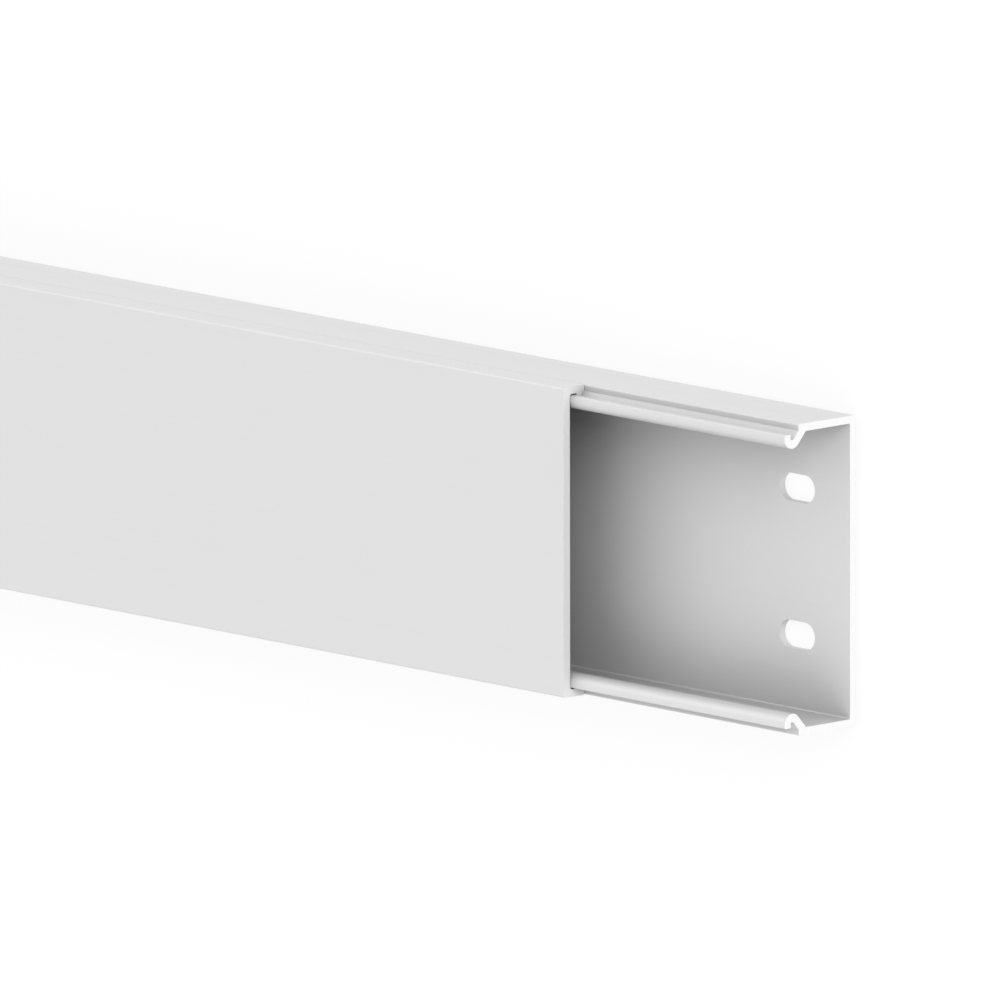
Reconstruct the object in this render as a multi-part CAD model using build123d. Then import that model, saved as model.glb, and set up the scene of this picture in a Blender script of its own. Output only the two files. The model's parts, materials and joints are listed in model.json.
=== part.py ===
from build123d import *

import math
import os

# Cable trunking, 60 x 20 mm nominal, in one stock length of white PVC: a slotted base channel and the
# cover that clips on to it. It lies on its back face. X runs along the length, Y across it and Z from
# the back to the front. The origin is the middle of the base's back face. Both profiles are symmetrical
# about Y = 0, so one half of each is drawn, on the side of positive Y, and mirrored.

# Driving dimensions, in millimetres and degrees

# Stock
length = 2000.0
cover_setback = 59.3  # the cover is drawn back this far from the base's right end

# Base channel
width = 60.0  # over both side walls
side_wall = 1.5
back_plate = 1.5
side_height = 14.9  # from the back face up to the seats that the cover's wings close on
back_edge_round = 0.6
inside_corner_fillet = 0.3

# Lip along each side wall: a flat seat, a slope inwards, then a hook that opens outwards
seat_width = 1.25
slope_angle = 41.5  # rise of the slope above the back plate's plane
lip_wall = 1.58  # slope and hook alike
groove_height = 2.09  # from the seat up to the leg of the hook
groove_floor = 0.7  # the flat between the slope and the leg that the cover's bead points at
groove_corner_fillet = 0.12
hook_round = 2.0
leg_tip_round = 0.3
seat_edge_round = 0.3

# Screw slots, in pairs along the back plate
slot_width = 5.4
slot_length = 9.8
slot_rows_apart = 28.4
slot_end_distance = 14.6  # from each end of the base to the middle of the last pair
slot_pairs = 9

# Cover
front_plate = 1.65
wing_wall = 1.45
front_edge_round = 0.45
wing_foot_round = 0.2
front_inside_fillet = 0.55
bead_inside_fillet = 0.25
bead_tip_round = 0.15

# Clearances between the cover and the base
seat_gap = 0.06  # wing to seat, and bead to slope
front_gap = 0.13  # front plate to the hook's leg
bead_gap = 0.14  # bead to the leg that traps it
bead_tip_gap = 0.37  # bead to the groove's floor
leg_tip_gap = 0.3  # leg's tip to the wing

# Levels above the back face and offsets from the middle, worked out from the sizes above
slope_rise = math.tan(math.radians(slope_angle))
slope_secant = 1 / math.cos(math.radians(slope_angle))
half_width = width / 2
seat_inner_y = half_width - seat_width
groove_floor_y = seat_inner_y - (groove_height - groove_floor) / slope_rise
leg_tip_y = half_width - wing_wall - leg_tip_gap
leg_under_z = side_height + groove_height
leg_top_z = leg_under_z + lip_wall
plate_under_z = leg_top_z + front_gap
front_z = plate_under_z + front_plate


def slope_z(y, offset=0.0):
    """Height at y of the line that lies offset above the lip's outer slope, square to it."""
    return side_height + (seat_inner_y - y) * slope_rise + offset * slope_secant


def slope_y(z, offset=0.0):
    """Where the line that lies offset above the lip's outer slope is at height z."""
    return seat_inner_y - (z - side_height - offset * slope_secant) / slope_rise


def extrusion(half_outline, rounds, start_x):
    """A stock length of the profile whose half is given as (y, z) points, from start_x along X."""
    half = make_face(Polyline(*half_outline, close=True))
    for (y, z), radius in rounds:
        corner = half.vertices().sort_by_distance((y, z, 0))[0]
        half = fillet(corner, radius)
    profile = half + mirror(half, about=Plane.YZ)
    return extrude(Plane.YZ.offset(start_x) * profile, length)


def base_channel():
    """The back plate, side walls and lips in one extrusion, with the screw slots cut through."""
    middle_back = (0, 0)
    back_edge = (half_width, 0)
    seat_edge = (half_width, side_height)
    slope_foot = (seat_inner_y, side_height)
    groove_bottom = (groove_floor_y, slope_z(groove_floor_y))
    groove_top = (groove_floor_y, leg_under_z)
    leg_under_tip = (leg_tip_y, leg_under_z)
    leg_top_tip = (leg_tip_y, leg_top_z)
    hook_corner = (slope_y(leg_top_z, -lip_wall), leg_top_z)
    wall_inner_y = half_width - side_wall
    wall_top_inside = (wall_inner_y, slope_z(wall_inner_y, -lip_wall))
    inside_corner = (wall_inner_y, back_plate)
    middle_inside = (0, back_plate)

    outline = [
        middle_back,
        back_edge,
        seat_edge,
        slope_foot,
        groove_bottom,
        groove_top,
        leg_under_tip,
        leg_top_tip,
        hook_corner,
        wall_top_inside,
        inside_corner,
        middle_inside,
    ]
    rounds = [
        (back_edge, back_edge_round),
        (seat_edge, seat_edge_round),
        (groove_bottom, groove_corner_fillet),
        (groove_top, groove_corner_fillet),
        (leg_under_tip, leg_tip_round),
        (leg_top_tip, leg_tip_round),
        (hook_corner, hook_round),
        (inside_corner, inside_corner_fillet),
    ]
    channel = extrusion(outline, rounds, -length / 2)
    return channel - screw_slots()


def screw_slots():
    """Cutters for the slots: pairs at even steps, the last pair near each end of the base."""
    pair_pitch = (length - 2 * slot_end_distance) / (slot_pairs - 1)
    slot = SlotOverall(slot_length, slot_width)
    places = GridLocations(pair_pitch, slot_rows_apart, slot_pairs, 2)
    slots = Sketch() + [place * slot for place in places]
    return extrude(slots, 2 * back_plate, both=True)


def cover():
    """The front plate with its wings and beads, drawn back from the base's right end."""
    wing_foot_z = side_height + seat_gap
    wing_inner_y = half_width - wing_wall
    bead_top_z = leg_under_z - bead_gap
    bead_tip_y = groove_floor_y + bead_tip_gap

    middle_front = (0, front_z)
    front_edge = (half_width, front_z)
    wing_foot = (half_width, wing_foot_z)
    bead_heel = (slope_y(wing_foot_z, seat_gap), wing_foot_z)
    bead_under_tip = (bead_tip_y, slope_z(bead_tip_y, seat_gap))
    bead_top_tip = (bead_tip_y, bead_top_z)
    bead_root = (wing_inner_y, bead_top_z)
    wing_root = (wing_inner_y, plate_under_z)
    middle_inside = (0, plate_under_z)

    outline = [
        middle_front,
        front_edge,
        wing_foot,
        bead_heel,
        bead_under_tip,
        bead_top_tip,
        bead_root,
        wing_root,
        middle_inside,
    ]
    rounds = [
        (front_edge, front_edge_round),
        (wing_foot, wing_foot_round),
        (bead_under_tip, bead_tip_round),
        (bead_top_tip, bead_tip_round),
        (bead_root, bead_inside_fillet),
        (wing_root, front_inside_fillet),
    ]
    return extrusion(outline, rounds, -length / 2 - cover_setback)


os.makedirs("parts", exist_ok=True)
pieces = {"base_channel": base_channel(), "cover": cover()}
for name, piece in pieces.items():
    export_step(piece, f"parts/{name}.step")
    print(name, "volume", round(piece.volume), "size", piece.bounding_box().size)
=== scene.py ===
"""Finishes and photographs a length of PVC cable trunking: a slotted base channel and its cover.

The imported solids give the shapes. This script gives them their finish and adds the floor, the
light and the camera. X runs along the length, Y across it and Z from the back out through the
cover. Lengths are in metres, except where a name ends in _mm, and angles are in degrees.
"""

from __future__ import annotations

import json
import logging
import math
from dataclasses import dataclass
from enum import Enum, auto
from typing import Any

import bpy
from mathutils import Matrix, Vector

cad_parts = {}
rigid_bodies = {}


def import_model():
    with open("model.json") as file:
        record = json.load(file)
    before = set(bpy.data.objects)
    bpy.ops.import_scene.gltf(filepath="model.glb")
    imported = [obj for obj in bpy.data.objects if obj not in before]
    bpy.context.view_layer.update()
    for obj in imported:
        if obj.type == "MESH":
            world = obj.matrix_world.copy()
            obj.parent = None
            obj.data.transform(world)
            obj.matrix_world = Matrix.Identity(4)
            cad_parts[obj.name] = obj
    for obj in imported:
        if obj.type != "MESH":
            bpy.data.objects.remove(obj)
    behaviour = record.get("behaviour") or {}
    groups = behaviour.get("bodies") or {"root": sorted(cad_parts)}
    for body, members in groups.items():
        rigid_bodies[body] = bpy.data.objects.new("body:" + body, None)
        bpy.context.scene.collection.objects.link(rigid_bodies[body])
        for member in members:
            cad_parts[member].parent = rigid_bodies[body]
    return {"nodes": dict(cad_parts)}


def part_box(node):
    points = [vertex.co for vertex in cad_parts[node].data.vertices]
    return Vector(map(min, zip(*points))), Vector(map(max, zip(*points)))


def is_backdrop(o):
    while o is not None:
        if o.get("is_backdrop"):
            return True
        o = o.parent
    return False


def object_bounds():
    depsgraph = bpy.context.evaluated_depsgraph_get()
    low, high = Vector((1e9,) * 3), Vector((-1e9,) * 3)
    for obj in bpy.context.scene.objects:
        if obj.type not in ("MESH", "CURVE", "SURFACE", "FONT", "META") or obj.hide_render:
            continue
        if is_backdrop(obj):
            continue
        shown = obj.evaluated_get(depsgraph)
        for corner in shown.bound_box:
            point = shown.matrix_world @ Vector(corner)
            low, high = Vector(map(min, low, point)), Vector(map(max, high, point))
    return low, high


LOG = logging.getLogger("trunking")
MM = 0.001

# The sRGB curve is straight up to its knee and a shifted power above it.
SRGB_KNEE = 0.04045
SRGB_SLOPE = 12.92
SRGB_SHIFT = 0.055
SRGB_POWER = 2.4

# Nearly all values of a noise texture lie between these two.
NOISE_LOW = 0.3
NOISE_HIGH = 0.7

# A Mix node gives its sockets the same names for every kind of value, so they are told by number.
MIX_FACTOR = 0
FLOAT_A, FLOAT_B, FLOAT_RESULT = 2, 3, 0
VECTOR_A, VECTOR_B, VECTOR_RESULT = 4, 5, 1
COLOUR_A, COLOUR_B, COLOUR_RESULT = 6, 7, 2


def linear(hex_colour: str) -> tuple[float, float, float, float]:
    """Turns an sRGB hex colour into the linear RGBA that shaders work in.

    Args:
        hex_colour: Six hex digits with a leading #.

    Returns:
        Linear red, green, blue and an alpha of 1.
    """
    channels = []
    for byte in bytes.fromhex(hex_colour[1:]):
        level = byte / 255
        if level <= SRGB_KNEE:
            channels.append(level / SRGB_SLOPE)
        else:
            channels.append(((level + SRGB_SHIFT) / (1 + SRGB_SHIFT)) ** SRGB_POWER)
    red, green, blue = channels
    return red, green, blue, 1.0


def add_node(
    tree: bpy.types.NodeTree, kind: str, inputs: dict[Any, Any] | None = None, **settings: Any
) -> bpy.types.Node:
    """Adds one node, sets its properties and fills or links its inputs.

    Args:
        tree: The node tree of a material or of the world.
        kind: The node's type, such as "ShaderNodeBump".
        inputs: Socket name or number, to a value or to the output socket that feeds it.
        **settings: Properties of the node itself.

    Returns:
        The new node.
    """
    node = tree.nodes.new(kind)
    for name, value in settings.items():
        setattr(node, name, value)
    for name, value in (inputs or {}).items():
        if isinstance(value, bpy.types.NodeSocket):
            tree.links.new(value, node.inputs[name])
        else:
            node.inputs[name].default_value = value
    return node


def empty_material(name: str) -> tuple[bpy.types.Material, bpy.types.NodeTree]:
    """Makes a material with an empty node tree.

    Args:
        name: The material's name.

    Returns:
        The material and its tree.
    """
    material = bpy.data.materials.new(name)
    material.use_nodes = True
    material.node_tree.nodes.clear()
    return material, material.node_tree


@dataclass(frozen=True)
class ExtrudedPvc:
    """Rigid white PVC, extruded and sawn to length: satin, and nearly even in colour.

    The die's lips leave faint lines along the length, which give long soft streaks in the gloss.
    The sawn ends are matt, with fine saw marks, and chalky, so they are whiter than the skin.

    Attributes:
        name: The material's name.
        skin_hex: The colour of the extruded skin.
        cut_hex: The colour of the sawn ends.
        roughness: Of the skin. It is satin, because the die isn't polished.
        roughness_spread: How much the die lines change it, either way.
        cut_roughness: Of the sawn ends.
        ior: Of rigid PVC.
        die_line_mm: Spacing of the die lines. Real ones are finer: these are coarse enough to show.
        die_line_height_mm: Their height.
        die_line_run_mm: How far one line runs before it fades.
        saw_mark_mm: Spacing of the saw's marks across the cut.
        saw_mark_height_mm: Their height.
        saw_mark_run_mm: How far one mark runs before it fades.
        saw_mark_octaves: How many times finer marks lie on coarser ones.
        saw_mark_keenness: How strong the finer marks are beside the ones they lie on.
        saw_mark_painted_shade: Painted shade: how much darker the bottoms of the marks are coloured
            than their crests.
        mottle_mm: Size of the faint clouds in the white, from the mixing of the compound.
        mottle_shade: How much the clouds and streaks change the white, either way.
        cut_depth_mm: How far in from an end still counts as its sawn face.
    """

    name: str
    skin_hex: str = "#E0E0E0"
    cut_hex: str = "#F4F4F4"
    roughness: float = 0.40
    roughness_spread: float = 0.04
    cut_roughness: float = 0.85
    ior: float = 1.53
    die_line_mm: float = 0.9
    die_line_height_mm: float = 0.008
    die_line_run_mm: float = 260.0
    saw_mark_mm: float = 0.35
    saw_mark_height_mm: float = 0.02
    saw_mark_run_mm: float = 4.2
    saw_mark_octaves: float = 3.0
    saw_mark_keenness: float = 0.6
    saw_mark_painted_shade: float = 0.035
    mottle_mm: float = 22.0
    mottle_shade: float = 0.008
    cut_depth_mm: float = 0.02

    def material(self, ends: tuple[float, float]) -> bpy.types.Material:
        """Builds the material, with its patterns in the piece's own coordinates.

        Args:
            ends: X of the piece's two sawn ends.

        Returns:
            The material.
        """
        made, tree = empty_material(self.name)
        place = add_node(tree, "ShaderNodeTexCoord").outputs["Object"]
        die_lines = self._die_lines(tree, place)
        saw_marks = self._saw_marks(tree, place)
        is_cut = self._is_cut(tree, place, ends)
        skin_bump = add_node(
            tree,
            "ShaderNodeBump",
            {"Height": die_lines, "Distance": self.die_line_height_mm * MM},
        )
        cut_bump = add_node(
            tree,
            "ShaderNodeBump",
            {"Height": saw_marks, "Distance": self.saw_mark_height_mm * MM},
        )
        bump = add_node(
            tree,
            "ShaderNodeMix",
            {
                MIX_FACTOR: is_cut,
                VECTOR_A: skin_bump.outputs["Normal"],
                VECTOR_B: cut_bump.outputs["Normal"],
            },
            data_type="VECTOR",
        )
        shader = add_node(
            tree,
            "ShaderNodeBsdfPrincipled",
            {
                "Base Color": self._colour(tree, place, die_lines, saw_marks, is_cut),
                "Roughness": self._roughness(tree, die_lines, is_cut),
                "IOR": self.ior,
                "Normal": bump.outputs[VECTOR_RESULT],
            },
        )
        add_node(tree, "ShaderNodeOutputMaterial", {"Surface": shader.outputs["BSDF"]})
        return made

    def _die_lines(
        self, tree: bpy.types.NodeTree, place: bpy.types.NodeSocket
    ) -> bpy.types.NodeSocket:
        """Makes noise that is drawn out along X, as the die leaves it.

        Args:
            tree: The material's tree.
            place: Where a point is on the piece.

        Returns:
            The height of the lines, as a share of the full one.
        """
        across = 1 / (self.die_line_mm * MM)
        along = 1 / (self.die_line_run_mm * MM)
        drawn_out = add_node(
            tree, "ShaderNodeMapping", {"Vector": place, "Scale": (along, across, across)}
        )
        noise = add_node(
            tree, "ShaderNodeTexNoise", {"Vector": drawn_out.outputs["Vector"], "Scale": 1.0}
        )
        return noise.outputs["Fac"]

    def _saw_marks(
        self, tree: bpy.types.NodeTree, place: bpy.types.NodeSocket
    ) -> bpy.types.NodeSocket:
        """Makes fine marks that are drawn out along Y, as a blade passes across the width.

        Args:
            tree: The material's tree.
            place: Where a point is on the piece.

        Returns:
            The height of the marks, as a share of the full one.
        """
        across = 1 / (self.saw_mark_mm * MM)
        along = 1 / (self.saw_mark_run_mm * MM)
        drawn_out = add_node(
            tree, "ShaderNodeMapping", {"Vector": place, "Scale": (along, along, across)}
        )
        noise = add_node(
            tree,
            "ShaderNodeTexNoise",
            {
                "Vector": drawn_out.outputs["Vector"],
                "Scale": 1.0,
                "Detail": self.saw_mark_octaves,
                "Roughness": self.saw_mark_keenness,
            },
        )
        return noise.outputs["Fac"]

    def _is_cut(
        self,
        tree: bpy.types.NodeTree,
        place: bpy.types.NodeSocket,
        ends: tuple[float, float],
    ) -> bpy.types.NodeSocket:
        """Tells the sawn ends from the skin by how far along the piece a point is.

        Args:
            tree: The material's tree.
            place: Where a point is on the piece.
            ends: X of the piece's two sawn ends.

        Returns:
            One on the sawn ends and nought on the skin.
        """
        low, high = ends
        along = add_node(tree, "ShaderNodeSeparateXYZ", {"Vector": place})
        from_middle = add_node(
            tree,
            "ShaderNodeMath",
            {0: along.outputs["X"], 1: (low + high) / 2},
            operation="SUBTRACT",
        )
        distance = add_node(
            tree, "ShaderNodeMath", {0: from_middle.outputs["Value"]}, operation="ABSOLUTE"
        )
        beyond = add_node(
            tree,
            "ShaderNodeMath",
            {0: distance.outputs["Value"], 1: (high - low) / 2 - self.cut_depth_mm * MM},
            operation="GREATER_THAN",
        )
        return beyond.outputs["Value"]

    def _colour(
        self,
        tree: bpy.types.NodeTree,
        place: bpy.types.NodeSocket,
        die_lines: bpy.types.NodeSocket,
        saw_marks: bpy.types.NodeSocket,
        is_cut: bpy.types.NodeSocket,
    ) -> bpy.types.NodeSocket:
        """Makes the white of the skin, with faint clouds and streaks, and the cut's, with painted
        shade in its marks.

        Args:
            tree: The material's tree.
            place: Where a point is on the piece.
            die_lines: The height of the die lines.
            saw_marks: The height of the saw marks.
            is_cut: One on the sawn ends and nought on the skin.

        Returns:
            The colour.
        """
        clouds = add_node(
            tree, "ShaderNodeTexNoise", {"Vector": place, "Scale": 1 / (self.mottle_mm * MM)}
        )
        clouds_and_lines = add_node(
            tree, "ShaderNodeMath", {0: clouds.outputs["Fac"], 1: die_lines}, operation="ADD"
        )
        skin_shade = add_node(
            tree,
            "ShaderNodeMapRange",
            {
                "Value": clouds_and_lines.outputs["Value"],
                "From Min": 2 * NOISE_LOW,
                "From Max": 2 * NOISE_HIGH,
                "To Min": 1 - self.mottle_shade,
                "To Max": 1 + self.mottle_shade,
            },
        )
        # Painted shade: the bottoms of the saw marks are coloured darker than their crests.
        cut_painted_shade = add_node(
            tree,
            "ShaderNodeMapRange",
            {
                "Value": saw_marks,
                "From Min": NOISE_LOW,
                "From Max": NOISE_HIGH,
                "To Min": 1 - self.saw_mark_painted_shade,
            },
        )
        shade = add_node(
            tree,
            "ShaderNodeMix",
            {
                MIX_FACTOR: is_cut,
                FLOAT_A: skin_shade.outputs["Result"],
                FLOAT_B: cut_painted_shade.outputs["Result"],
            },
            data_type="FLOAT",
        )
        white = add_node(
            tree,
            "ShaderNodeMix",
            {MIX_FACTOR: is_cut, COLOUR_A: linear(self.skin_hex), COLOUR_B: linear(self.cut_hex)},
            data_type="RGBA",
        )
        shaded = add_node(
            tree,
            "ShaderNodeHueSaturation",
            {"Color": white.outputs[COLOUR_RESULT], "Value": shade.outputs[FLOAT_RESULT]},
        )
        return shaded.outputs["Color"]

    def _roughness(
        self,
        tree: bpy.types.NodeTree,
        die_lines: bpy.types.NodeSocket,
        is_cut: bpy.types.NodeSocket,
    ) -> bpy.types.NodeSocket:
        """Makes the skin satin, a little glossier on the crests of the die lines, and the cut matt.

        Args:
            tree: The material's tree.
            die_lines: The height of the die lines.
            is_cut: One on the sawn ends and nought on the skin.

        Returns:
            The roughness.
        """
        skin = add_node(
            tree,
            "ShaderNodeMapRange",
            {
                "Value": die_lines,
                "From Min": NOISE_LOW,
                "From Max": NOISE_HIGH,
                "To Min": self.roughness + self.roughness_spread,
                "To Max": self.roughness - self.roughness_spread,
            },
        )
        mixed = add_node(
            tree,
            "ShaderNodeMix",
            {MIX_FACTOR: is_cut, FLOAT_A: skin.outputs["Result"], FLOAT_B: self.cut_roughness},
            data_type="FLOAT",
        )
        return mixed.outputs[FLOAT_RESULT]


@dataclass(frozen=True)
class Profile:
    """One extruded length of the trunking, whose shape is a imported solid.

    Attributes:
        node: The solid's name.
        finish: What it is made of.
    """

    node: str
    finish: ExtrudedPvc

    def dress(self, nodes: dict[str, bpy.types.Object]) -> None:
        """Gives every face of the solid its finish.

        Args:
            nodes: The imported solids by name.
        """
        solid = nodes[self.node]
        low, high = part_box(self.node)
        solid.data.materials.clear()
        solid.data.materials.append(self.finish.material(ends=(low.x, high.x)))
        LOG.info("%s: %s, %.0f mm long", self.node, self.finish.name, (high.x - low.x) / MM)


@dataclass(frozen=True)
class Trunking:
    """The whole length: the base channel and the cover that slides on its lips."""

    base: Profile = Profile("base_channel", ExtrudedPvc("extruded_white_pvc_base"))
    cover: Profile = Profile("cover", ExtrudedPvc("extruded_white_pvc_cover"))

    def dress(self, nodes: dict[str, bpy.types.Object]) -> None:
        """Dresses both profiles.

        Args:
            nodes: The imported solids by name.
        """
        for profile in (self.base, self.cover):
            profile.dress(nodes)


def seen_directly(tree: bpy.types.NodeTree) -> bpy.types.NodeSocket:
    """Tells rays from the camera, from a reflection or through glass from those that only light.

    Args:
        tree: The tree to build in.

    Returns:
        One for what is seen and nought for light.
    """
    path = add_node(tree, "ShaderNodeLightPath")
    seen = path.outputs["Is Camera Ray"]
    for other in ("Is Glossy Ray", "Is Transmission Ray"):
        either = add_node(
            tree, "ShaderNodeMath", {0: seen, 1: path.outputs[other]}, operation="MAXIMUM"
        )
        seen = either.outputs["Value"]
    return seen


@dataclass(frozen=True)
class LightTable:
    """The opal acrylic top of a light table, lit from below, that the trunking lies on.

    Attributes:
        side: Length of the square top's side.
        drop: How far it lies under the trunking's back face, so that the two don't share a plane.
        opal_hex: Its colour when dark. It takes only a faint shadow, as a lit top does.
        seen_glow: How brightly it shines to the eye, which with the room's light makes it white.
        light: How brightly it lights the trunking's sides, as much as a white floor throws back.
    """

    side: float = 60.0
    drop: float = 0.05 * MM
    opal_hex: str = "#616161"
    seen_glow: float = 0.90
    light: float = 0.822

    def lay(self) -> None:
        """Makes the top and marks it as not part of the trunking."""
        half = self.side / 2
        mesh = bpy.data.meshes.new("light_table")
        corners = [(-half, -half, 0), (half, -half, 0), (half, half, 0), (-half, half, 0)]
        mesh.from_pydata(corners, [], [(0, 1, 2, 3)])
        table = bpy.data.objects.new("light_table", mesh)
        table.location.z = -self.drop
        bpy.context.scene.collection.objects.link(table)
        mesh.materials.append(self._opal())
        table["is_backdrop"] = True
        LOG.info("light_table: %.0f m square", self.side)

    def _opal(self) -> bpy.types.Material:
        """Makes opal acrylic that glows evenly, is matt, and keeps the trunking's shadow.

        Returns:
            The material.
        """
        opal, tree = empty_material("opal_acrylic")
        surface = add_node(tree, "ShaderNodeBsdfDiffuse", {"Color": linear(self.opal_hex)})
        strength = add_node(
            tree,
            "ShaderNodeMapRange",
            {"Value": seen_directly(tree), "To Min": self.light, "To Max": self.seen_glow},
        )
        glow = add_node(tree, "ShaderNodeEmission", {"Strength": strength.outputs["Result"]})
        both = add_node(
            tree,
            "ShaderNodeAddShader",
            {0: surface.outputs["BSDF"], 1: glow.outputs["Emission"]},
        )
        add_node(tree, "ShaderNodeOutputMaterial", {"Surface": both.outputs["Shader"]})
        return opal


class Shows(Enum):
    """Where a softbox shows: in the light on a surface, or in its gloss."""

    LIGHT = auto()
    GLINT = auto()


@dataclass(frozen=True)
class Softbox:
    """A softbox so far away that it lights the whole length alike.

    Attributes:
        name: The lamp's name.
        azimuth: Round from the end where the base shows, towards the trunking's +Y side.
        elevation: Above the table.
        spread: How wide it looks from the trunking, as an angle.
        level: How brightly it lights a surface that faces it, where 1 shows a colour as written.
        shows: Light, with its glare filtered out so that no flat face burns out, or a glint, which
            draws the rounded edges.
    """

    name: str
    azimuth: float
    elevation: float
    spread: float
    level: float
    shows: Shows = Shows.LIGHT

    def hang(self) -> None:
        """Puts the lamp in the scene, turned to the trunking."""
        azimuth, elevation = math.radians(self.azimuth), math.radians(self.elevation)
        flat = math.cos(elevation)
        towards = Vector((flat * math.cos(azimuth), flat * math.sin(azimuth), math.sin(elevation)))
        lamp = bpy.data.lights.new(self.name, "SUN")
        lamp.angle = math.radians(self.spread)
        # A matt surface shows its colour times this over pi.
        lamp.energy = self.level * math.pi
        hung = bpy.data.objects.new(self.name, lamp)
        hung.rotation_mode = "QUATERNION"
        hung.rotation_quaternion = towards.to_track_quat("Z", "Y")
        hung.visible_diffuse = self.shows is Shows.LIGHT
        hung.visible_glossy = self.shows is Shows.GLINT
        bpy.context.scene.collection.objects.link(hung)
        LOG.info("%s: level %.3f", self.name, self.level)


@dataclass(frozen=True)
class Studio:
    """An even white room with weak soft lamps over a light table, as for a catalogue picture.

    Attributes:
        white_hex: The colour of the room.
        seen_room: How bright the room looks to the eye and in gloss, where 1 is its full colour.
        room: How brightly it lights the trunking.
        lamps: The softboxes.
        table: What the trunking lies on.
        bounces: How often light may bounce between matt surfaces. In the photograph it doesn't, and
            corners are as dark as the little that they see of the room leaves them.
    """

    white_hex: str = "#FFFFFF"
    seen_room: float = 1.0
    room: float = 0.786
    lamps: tuple[Softbox, ...] = (
        Softbox("softbox_key", azimuth=30.0, elevation=30.0, spread=30.0, level=0.279),
        Softbox("softbox_fill", azimuth=-45.0, elevation=55.0, spread=30.0, level=0.062),
        Softbox("softbox_end", azimuth=0.0, elevation=10.0, spread=16.0, level=0.056),
        Softbox("softbox_rim", azimuth=150.0, elevation=8.0, spread=20.0, level=0.05),
        Softbox(
            "softbox_glint",
            azimuth=150.0,
            elevation=33.0,
            spread=32.0,
            level=0.16,
            shows=Shows.GLINT,
        ),
    )
    table: LightTable = LightTable()
    bounces: int = 0

    def build(self) -> None:
        """Lays the table's top, hangs the lamps and lights the room."""
        self.table.lay()
        for lamp in self.lamps:
            lamp.hang()
        world = bpy.data.worlds.new("white_room")
        world.use_nodes = True
        tree = world.node_tree
        tree.nodes.clear()
        level = add_node(
            tree,
            "ShaderNodeMapRange",
            {"Value": seen_directly(tree), "To Min": self.room, "To Max": self.seen_room},
        )
        white = add_node(
            tree,
            "ShaderNodeBackground",
            {"Color": linear(self.white_hex), "Strength": level.outputs["Result"]},
        )
        add_node(tree, "ShaderNodeOutputWorld", {"Surface": white.outputs["Background"]})
        bpy.context.scene.world = world
        bpy.context.scene.cycles.diffuse_bounces = self.bounces
        LOG.info("white_room: level %.3f", self.room)


@dataclass(frozen=True)
class CatalogueCamera:
    """The photograph's view: square to no face, from the open end's side and a little above.

    The photograph is a parallel projection. A very long lens far away comes within two pixels of
    one, and still fits the whole length into any other view. The photograph's upright is the
    trunking's Y.

    Attributes:
        turn: From square-on to the cover, round the photograph's upright.
        dip: How far down it looks.
        roll: Round its own line of sight.
        middle_x_mm: X of the point of the cover's plane in the middle of the picture.
        middle_y_mm: Its Y.
        distance: How far the camera stands from that point.
        reach: It sees from this many times nearer than that point to this many times farther.
        lens_mm: Focal length.
        sensor_mm: Width of the sensor.
    """

    turn: float = 46.99
    dip: float = 10.27
    roll: float = -0.086
    middle_x_mm: float = 922.98
    middle_y_mm: float = 6.0
    distance: float = 8.991
    reach: float = 10.0
    lens_mm: float = 1700.0
    sensor_mm: float = 36.0

    def point(self, front: float) -> None:
        """Makes the camera and points it.

        Args:
            front: Z of the cover's front plane.
        """
        turn, dip, roll = (math.radians(angle) for angle in (self.turn, self.dip, self.roll))
        right = Vector((math.cos(turn), 0, -math.sin(turn)))
        back = Vector(
            (math.sin(turn) * math.cos(dip), math.sin(dip), math.cos(turn) * math.cos(dip))
        )
        up = back.cross(right)
        middle = Vector((self.middle_x_mm * MM, self.middle_y_mm * MM, front))
        lens = bpy.data.cameras.new("catalogue_camera")
        lens.lens = self.lens_mm
        lens.sensor_width = self.sensor_mm
        lens.clip_start = self.distance / self.reach
        lens.clip_end = self.distance * self.reach
        camera = bpy.data.objects.new("catalogue_camera", lens)
        place = Matrix.Translation(middle + back * self.distance)
        axes = Matrix((right, up, back)).transposed().to_4x4()
        camera.matrix_world = place @ axes @ Matrix.Rotation(roll, 4, "Z")
        bpy.context.scene.collection.objects.link(camera)
        bpy.context.scene.camera = camera
        LOG.info("catalogue_camera: %.2f m away", self.distance)


def clear_scene() -> None:
    """Takes away the objects that Blender starts with, which would count as pieces."""
    for thing in list(bpy.data.objects):
        bpy.data.objects.remove(thing)


def main() -> None:
    """Builds the picture: camera, trunking, then the studio round it."""
    logging.basicConfig(level=logging.INFO, format="%(name)s %(message)s")
    clear_scene()
    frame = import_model()
    solid_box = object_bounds()
    CatalogueCamera().point(front=solid_box[1].z)
    Trunking().dress(frame["nodes"])
    Studio().build()
    bpy.context.scene.view_settings.view_transform = "Standard"


if __name__ == "__main__":
    main()
